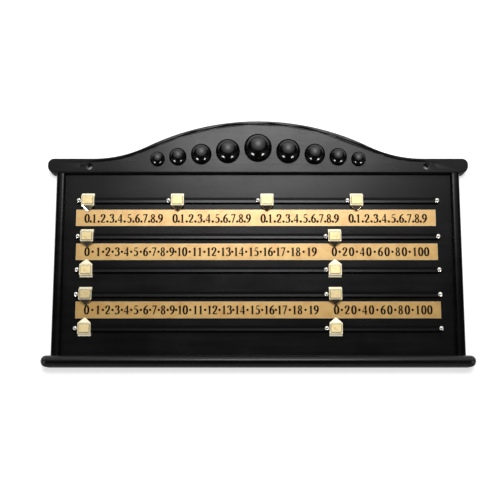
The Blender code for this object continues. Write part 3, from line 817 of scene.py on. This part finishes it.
def makeNumbers():
    # Printed numerals and the dots between them, on each plate.
    numbers = {
        "height": 16.4 * mm,
        "ink": (0.005 * mm, 0.03 * mm),  # back and front of the ink, off the plate's face
        "first": -316.6 * mm,  # first 0, from the plate's middle
        "dotRadius": 2.3 * mm,
        "dotSides": 20,
        "fall": 1.2 * mm,  # top plate's digits below its middle
        "groupPitch": 165.1 * mm,
        # each number's middle from the row's first 0, in mm
        "topPlaces": (0, 13.5, 29.9, 46.4, 61.9, 79.2, 94.5, 109.4, 123.4, 137.5),
        "places": (0, 21.1, 38.9, 56.5, 73.5, 91.1, 109.2, 125.4, 141.2, 158,
                   177.2, 205.7, 231.9, 258.6, 282.9, 310.8, 337.1, 361.2, 388.8, 418.9),
        "hundredPlaces": (0, 25.9, 58.3, 92.2, 124.5, 161.1),
        "hundredsStart": 144.6 * mm,
        "digitPitch": 9.8 * mm,
        "hundredsDigitPitch": 12.4 * mm,
        "lastDigitPitch": 11 * mm,
    }
    height = numbers["height"]
    digits = {digit: joinFlat(faces) for digit, faces in drawDigits().items()}
    dotRadius = numbers["dotRadius"] / height
    dot = joinFlat(disc(0, 0, dotRadius, numbers["dotSides"]))

    def rowOf(labels, places, start, pitch, rise, dotRise):
        # Each number's digits, then the dots half way between neighbouring digits.
        marks = []
        edges = []
        for label, place in zip(labels, places):
            step = numbers["lastDigitPitch"] if len(label) > 2 else pitch
            first = start + place * mm - (len(label) - 1) / 2 * step
            spots = [first + k * step for k in range(len(label))]
            marks += [(digits[digit], x, rise - 0.5) for digit, x in zip(label, spots)]
            edges.append((spots[0], spots[-1]))
        marks += [(dot, (before[1] + after[0]) / 2, dotRise)
                  for before, after in zip(edges, edges[1:])]
        return marks

    rows = {"number_plate_top": [], "number_plate_middle": [], "number_plate_bottom": []}
    fall = -numbers["fall"] / height
    for group in range(4):
        start = numbers["first"] + group * numbers["groupPitch"]
        rows["number_plate_top"] += rowOf([str(k) for k in range(10)], numbers["topPlaces"],
                                          start, 0, fall, fall - 0.5 + dotRadius)
    for plate in ("number_plate_middle", "number_plate_bottom"):
        rows[plate] += rowOf([str(k) for k in range(20)], numbers["places"],
                             numbers["first"], numbers["digitPitch"], 0, 0)
        rows[plate] += rowOf([str(k) for k in range(0, 101, 20)], numbers["hundredPlaces"],
                             numbers["hundredsStart"], numbers["hundredsDigitPitch"], 0, 0)
    for plate, marks in rows.items():
        middle = centreOf(plate)
        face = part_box(plate)[0][1]
        points = []
        faces = []
        for (flat, triangles), x, z in marks:
            start = len(points)
            count = len(flat)
            for ink in numbers["ink"][::-1]:
                points += [(middle.x + x + p[0] * height, face - ink,
                            middle.z + (p[1] + z) * height) for p in flat]
            for a, b, c in triangles:
                faces.append((start + a, start + b, start + c))
                faces.append((start + count + c, start + count + b, start + count + a))
            sides = dict.fromkeys(side for a, b, c in triangles
                                  for side in ((a, b), (b, c), (c, a)))
            for a, b in sides:
                if (b, a) not in sides:
                    faces.append((start + b, start + a, start + count + a, start + count + b))
        form = bmesh.new()
        verts = [form.verts.new(point) for point in points]
        for corners in faces:
            form.faces.new([verts[k] for k in corners])
        bmesh.ops.delete(form, geom=[v for v in verts if not v.link_faces], context="VERTS")
        addPiece(plate, toMesh(plate + "_numerals", form, None), added=numeralInk)


makeBoards()
makeMouldings()
makeHalfBalls()
makeRails()
makeRailScrews()
makeRearScrews()
makeSliders()
print("boards, balls, rails, screws and sliders made")
makeNumbers()
print("numbers printed on the plates")


# Stage, lights and camera

def makeWall():
    # The white wall that the board hangs on. It is clear from behind, and lets light through
    # to the back of the board.
    wall = {
        "half": 6,
        "behind": 0.4 * mm,
        "colour": "#f4f4f4",
        "lift": 0.7,
        # Painted shade: the wall's glow is dimmed deep in the fixing holes.
        "hidden": (0, 0.5),  # deep in the fixing holes the wall is dim
        "hiddenReach": 18 * mm,
    }
    half, y = wall["half"], wall["behind"]
    mesh = bpy.data.meshes.new("wall")
    mesh.from_pydata([(-half, y, -half), (half, y, -half), (half, y, half), (-half, y, half)], [],
                     [(0, 1, 2, 3)])
    piece = addObject("wall", mesh)
    piece.visible_shadow = False
    piece.visible_diffuse = False
    material = bpy.data.materials.new("matt_white_painted_plaster")
    tree = emptyTree(material)
    path = addNode(tree, "LightPath").outputs
    seen = addNode(tree, "Math", {0: path["Is Camera Ray"], 1: path["Is Glossy Ray"]},
                   operation="MAXIMUM")
    seenAll = addNode(tree, "Math", {0: seen, 1: path["Is Transmission Ray"]}, operation="MAXIMUM")
    # Painted shade: the glow fades where the board closes over the wall, deep in the fixing holes.
    hole = addNode(tree, "AmbientOcclusion", {"Distance": wall["hiddenReach"]}, samples=8)
    bright = addNode(tree, "MapRange", {"Value": hole.outputs["AO"],
                                        **fromTo(wall["hidden"], (0, wall["lift"]))})
    lift = addNode(tree, "Math", {0: seenAll, 1: bright}, operation="MULTIPLY")
    paint = addNode(tree, "BsdfDiffuse", {"Color": wall["colour"]})
    both = addNode(tree, "AddShader", {0: paint, 1: addNode(tree, "Emission", {"Strength": lift})})
    side = addNode(tree, "NewGeometry").outputs["Backfacing"]
    face = addNode(tree, "MixShader", {0: side, 1: both, 2: addNode(tree, "BsdfTransparent")})
    addNode(tree, "OutputMaterial", {"Surface": face})
    mesh.materials.append(material)
    return piece


def addSoftbox(name, direction, distance, size, radiance, fades=None, aim=(0, 0, -0.12)):
    # An oval lamp that faces the board. Radiance 1 is what a white surface would show.
    towards = Vector(direction).normalized()
    lamp = bpy.data.lights.new(name, "AREA")
    lamp.shape = "ELLIPSE"
    lamp.size, lamp.size_y = size
    area = math.pi * size[0] * size[1] / 4
    lamp.energy = radiance * area * math.pi
    if fades:
        # Bright in the middle, and fading outwards.
        tree = emptyTree(lamp)
        place = addNode(tree, "NewGeometry").outputs["Parametric"]
        reach = addNode(tree, "VectorMath", {0: place, 1: (0.5, 0.5, 0)}, operation="DISTANCE")
        glow = addNode(tree, "FloatCurve", {"Value": reach})
        curve = glow.mapping.curves[0]
        curve.points[0].location = (0, fades[0][1])
        curve.points[1].location = (1, 0)
        for spot in fades[1:]:
            curve.points.new(*spot)
        glow.mapping.update()
        addNode(tree, "OutputLight", {"Surface": addNode(tree, "Emission", {"Strength": glow})})
    thing = addObject(name, lamp)
    thing.location = Vector(aim) + towards * distance
    thing.rotation_mode = "QUATERNION"
    thing.rotation_quaternion = (-towards).to_track_quat("-Z", "Y")
    thing.visible_camera = False
    return thing


def lightGroup(name, state, things):
    # The things that a lamp alone reaches (INCLUDE), or that it leaves out (EXCLUDE).
    group = bpy.data.collections.new(name)
    for thing in things:
        group.objects.link(thing)
    for row in group.collection_objects:
        row.light_linking.link_state = state
    return group


def makeLights(wall):
    # direction from the board, distance, width and height, radiance
    lamps = {
        "key": ((0.02, -0.92, 0.38), 2.4, (1.0, 0.62), 6.0),
        "key_skirt": ((0.07, -0.92, 0.36), 2.4, (3.6, 0.8), 0.3),
        "side_left": ((-0.8, -0.5, 0.45), 2.6, (1.2, 1.4), 1.4),
        "side_right": ((0.75, -0.6, 0.45), 2.6, (1.2, 1.4), 1.4),
        "low_left": ((-0.66, -0.03, -0.77), 2.2, (1.1, 0.78), 25),
        "low_right": ((0.60, -0.02, -0.81), 2.2, (1.1, 0.78), 25),
        "floor_left": ((-0.75, -0.62, -0.36), 2.6, (1.2, 1.6), 1.4),
        "floor_right": ((0.75, -0.62, -0.36), 2.6, (1.2, 1.6), 1.4),
        "floor_card": ((0.0, -0.80, -0.60), 2.4, (3.0, 1.2), 0.7),
        "side_card_left": ((-0.78, -0.62, 0.1), 2.4, (1.1, 1.8), 0.5),
        "side_card_right": ((0.78, -0.62, 0.1), 2.4, (1.1, 1.8), 0.5),
        "behind": ((0.3, 0.9, 0.5), 3.0, (2.0, 2.0), 7.0),
        "wall_lamp": ((0.02, -0.92, 0.22), 2.4, (1.0, 0.9), 14),
        "plate_card": ((0.0, -0.90, 0.44), 2.0, (1.9, 0.75), 1.75),
        "slider_card": ((0.0, -0.96, 0.25), 2.0, (2.4, 1.3), 0.78),
        "slider_floor": ((0.0, -1.0, -0.10), 2.0, (2.4, 0.8), 0.5),
        "slider_ceiling": ((0.0, -0.40, 0.91), 2.2, (2.6, 1.8), 0.68),
        "slider_ceiling_left": ((0.0, -0.40, 0.91), 2.2, (2.6, 1.8), 0.36),
        "ball_card": ((0.03, -0.92, 0.42), 2.4, (8.0, 8.0), 6.0),
    }
    # share of the lamp's width out from its middle, and brightness there
    ballGlow = ((0, 1), (0.07, 0.62), (0.16, 0.27), (0.28, 0.16), (0.42, 0.07), (0.5, 0.02))
    made = bpy.data.objects
    balls = [made[name + "_turned"] for name in nodesNamed("half_ball_")]
    mouldings = [made[name + "_milled"] for name in nodesNamed("side_moulding_")]
    plates = [nodes[name] for name in nodesNamed("number_plate_")]
    screws = [thing for thing in made if thing.name.endswith("_cross_head")]
    sliders = {name[-2:]: made[name + "_cast"] for name in nodesNamed("slider_")}
    left = [sliders[end] for end in ("2a", "3a", "4a", "5a")]
    low = [sliders[end] for end in ("4a", "4b", "5a", "5b")]
    pointUp = [sliders[end] for end in ("3a", "3b", "5a", "5b")]
    others = [thing for thing in sliders.values() if thing not in left]
    brass = [*plates, *sliders.values(), *screws]
    ownLamps = [wall, *balls]
    # lamps: the name of their group, whether it is reached or left out, and what is in it
    groups = {
        ("wall_lamp",): ("wall_only", "INCLUDE", [wall]),
        ("plate_card",): ("plates_only", "INCLUDE", plates),
        ("slider_card",): ("sliders_only", "INCLUDE", sliders.values()),
        ("slider_floor",): ("pointers_up_only", "INCLUDE", pointUp),
        ("slider_ceiling_left",): ("left_sliders", "INCLUDE", left),
        ("slider_ceiling",): ("sliders_and_screws", "INCLUDE", [*screws, *others]),
        ("ball_card",): ("balls_only", "INCLUDE", balls),
        ("low_left",): ("low_left_reach", "INCLUDE", [*balls, *screws, sliders["1a"]]),
        ("low_right",): ("low_right_reach", "INCLUDE",
                         [*balls, *screws, sliders["1a"], sliders["1d"]]),
        ("floor_card",): ("plates_and_pointers_up", "INCLUDE", [*plates, *screws, *pointUp]),
        ("side_card_left", "side_card_right"): ("brass_and_screws", "INCLUDE", brass),
        ("side_left", "side_right"): ("no_mouldings_no_low_sliders", "EXCLUDE",
                                      [*ownLamps, *mouldings, *low]),
        ("floor_left", "floor_right"): ("no_mouldings", "EXCLUDE", [*ownLamps, *mouldings]),
        ("key", "key_skirt", "behind"): ("no_wall_no_balls", "EXCLUDE", ownLamps),
    }
    for names, row in groups.items():
        reached = lightGroup(*row)
        for name in names:
            lamp = addSoftbox(name, *lamps[name], ballGlow if name == "ball_card" else None)
            lamp.light_linking.receiver_collection = reached


def makeSky():
    # A bright ceiling that fades towards the horizon and the sides, over a nearly dark room
    # with a faint floor. The camera sees plain white.
    sky = {
        "room": 0.008,
        "brightest": 0.9,
        "above": 0.6,
        "heights": (0.46, 0.72, 1),  # where the ceiling starts, is brightest and ends
        "sides": (0.45, 0.95),
        "sideShare": 0.15,
        "floorFrom": (-0.1, -0.6),
        "floorSides": (0.3, 0.7),
        "floor": 0.12,
    }
    world = bpy.data.worlds.new("studio")
    bpy.context.scene.world = world
    tree = emptyTree(world)
    towards = addNode(tree, "SeparateXYZ", {0: addNode(tree, "TexCoord").outputs["Generated"]})
    up = towards.outputs["Z"]
    aside = addNode(tree, "Math", {0: towards.outputs["X"]}, operation="ABSOLUTE")
    rise = addNode(tree, "MapRange", {
        "Value": up, **fromTo(sky["heights"][:2], (sky["room"], sky["brightest"]))},
        interpolation_type="SMOOTHSTEP")
    fall = addNode(tree, "MapRange", {
        "Value": up, **fromTo(sky["heights"][1:], (0, sky["above"] - sky["brightest"]))},
        interpolation_type="SMOOTHSTEP")
    upward = addNode(tree, "Math", {0: rise, 1: fall})
    centred = addNode(tree, "MapRange", {"Value": aside,
                                         **fromTo(sky["sides"], (1, sky["sideShare"]))})
    below = addNode(tree, "MapRange", {"Value": up, **fromTo(sky["floorFrom"], (0, sky["floor"]))})
    beside = addNode(tree, "MapRange", {"Value": aside, **fromTo(sky["floorSides"])})
    floor = addNode(tree, "Math", {0: below, 1: beside}, operation="MULTIPLY")
    light = addNode(tree, "Math", {0: upward, 1: centred, 2: floor}, operation="MULTIPLY_ADD")
    room = addNode(tree, "Background", {"Color": "#ffffff", "Strength": light})
    white = addNode(tree, "Background", {"Color": "#ffffff", "Strength": 1})
    seen = addNode(tree, "LightPath").outputs["Is Camera Ray"]
    shown = addNode(tree, "MixShader", {0: seen, 1: room, 2: white})
    addNode(tree, "OutputWorld", {"Surface": shown})


def makeCamera():
    # Below the middle of the board and looking up a little, without any turn to the side.
    shot = {"place": (-0.0151, -1.765, -0.4636), "pitch": 9.9, "focalPixels": 950,
            "imagePixels": 500}
    camera = bpy.data.cameras.new("camera")
    camera.sensor_width = 36
    camera.lens = camera.sensor_width * shot["focalPixels"] / shot["imagePixels"]
    thing = addObject("camera", camera)
    thing.location = shot["place"]
    thing.rotation_euler = (math.radians(90 + shot["pitch"]), 0, 0)
    bpy.context.scene.camera = thing


makeLights(makeWall())
makeSky()
makeCamera()
bpy.context.scene.view_settings.view_transform = "Standard"
print("stage, lights and camera set")
